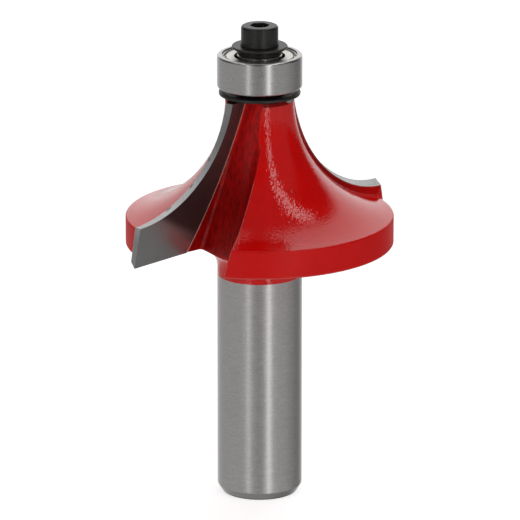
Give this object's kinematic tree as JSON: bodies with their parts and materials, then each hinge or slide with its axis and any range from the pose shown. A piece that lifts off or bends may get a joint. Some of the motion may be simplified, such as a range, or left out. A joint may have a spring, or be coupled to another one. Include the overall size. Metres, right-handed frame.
{
  "type": "round-over router bit",
  "caption": "Round-over router bit: plain cylindrical shank, red-coated winged head with brazed carbide cutting tips and a ball-bearing pilot held by a socket screw.",
  "frame": {"origin": "centre of the shank's flat end face", "axes": "+Z along the bit's axis from the shank end to the pilot bearing; +X and +Y across it, with the cutting faces about 33 and 213 degrees round from +X"},
  "size_m": [0.0401, 0.04, 0.0724],
  "materials": {
    "painted_steel": "glossy red coating on the head, bare ground steel on the shank",
    "carbide": "ground and polished cemented carbide",
    "braze": "satin braze alloy",
    "black_oxide": "black oxide, satin",
    "bearing_steel": "fine ground steel",
    "shield_steel": "satin stamped steel",
    "spring_wire": "drawn wire",
    "cage_steel": "stamped steel",
    "ball_steel": "polished"
  },
  "bodies": {
    "cutter": {"cutter_body": "painted_steel", "carbide_tip_1": "carbide", "carbide_tip_2": "carbide", "braze_1": "braze", "braze_2": "braze", "guard_washer": "black_oxide", "bearing_inner_ring": "bearing_steel", "screw_washer": "black_oxide", "clamp_screw": "black_oxide"},
    "pilot_ring": {"bearing_outer_ring": "bearing_steel", "shield_upper": "shield_steel", "shield_lower": "shield_steel", "snap_ring_upper": "spring_wire", "snap_ring_lower": "spring_wire"},
    "ball_cage": {"cage_upper": "cage_steel", "cage_lower": "cage_steel"},
    "ball_1": {"ball_1": "ball_steel"},
    "ball_2": {"ball_2": "ball_steel"},
    "ball_3": {"ball_3": "ball_steel"},
    "ball_4": {"ball_4": "ball_steel"},
    "ball_5": {"ball_5": "ball_steel"},
    "ball_6": {"ball_6": "ball_steel"},
    "ball_7": {"ball_7": "ball_steel"}
  },
  "joints": [
    {"name": "pilot_spin", "type": "hinge", "parent": "cutter", "child": "pilot_ring", "pos_m": [0, 0, 0.06554], "axis": [0, 0, 1], "continuous": true},
    {"name": "cage_orbit", "type": "hinge", "parent": "cutter", "child": "ball_cage", "pos_m": [0, 0, 0.06554], "axis": [0, 0, 1], "continuous": true},
    {"name": "ball_1_spin", "type": "hinge", "parent": "ball_cage", "child": "ball_1", "pos_m": [0, 0.00437, 0.06554], "axis": [0, 0, 1], "continuous": true},
    {"name": "ball_2_spin", "type": "hinge", "parent": "ball_cage", "child": "ball_2", "pos_m": [-0.00341, 0.00272, 0.06554], "axis": [0, 0, 1], "continuous": true},
    {"name": "ball_3_spin", "type": "hinge", "parent": "ball_cage", "child": "ball_3", "pos_m": [-0.00426, -0.00097, 0.06554], "axis": [0, 0, 1], "continuous": true},
    {"name": "ball_4_spin", "type": "hinge", "parent": "ball_cage", "child": "ball_4", "pos_m": [-0.00189, -0.00393, 0.06554], "axis": [0, 0, 1], "continuous": true},
    {"name": "ball_5_spin", "type": "hinge", "parent": "ball_cage", "child": "ball_5", "pos_m": [0.00189, -0.00393, 0.06554], "axis": [0, 0, 1], "continuous": true},
    {"name": "ball_6_spin", "type": "hinge", "parent": "ball_cage", "child": "ball_6", "pos_m": [0.00426, -0.00097, 0.06554], "axis": [0, 0, 1], "continuous": true},
    {"name": "ball_7_spin", "type": "hinge", "parent": "ball_cage", "child": "ball_7", "pos_m": [0.00341, 0.00272, 0.06554], "axis": [0, 0, 1], "continuous": true}
  ],
  "couplings": [
    {"joint": "cage_orbit", "follows": "pilot_spin", "ratio": 0.63635},
    {"joint": "ball_1_spin", "follows": "pilot_spin", "ratio": 1.6971},
    {"joint": "ball_2_spin", "follows": "pilot_spin", "ratio": 1.6971},
    {"joint": "ball_3_spin", "follows": "pilot_spin", "ratio": 1.6971},
    {"joint": "ball_4_spin", "follows": "pilot_spin", "ratio": 1.6971},
    {"joint": "ball_5_spin", "follows": "pilot_spin", "ratio": 1.6971},
    {"joint": "ball_6_spin", "follows": "pilot_spin", "ratio": 1.6971},
    {"joint": "ball_7_spin", "follows": "pilot_spin", "ratio": 1.6971}
  ]
}
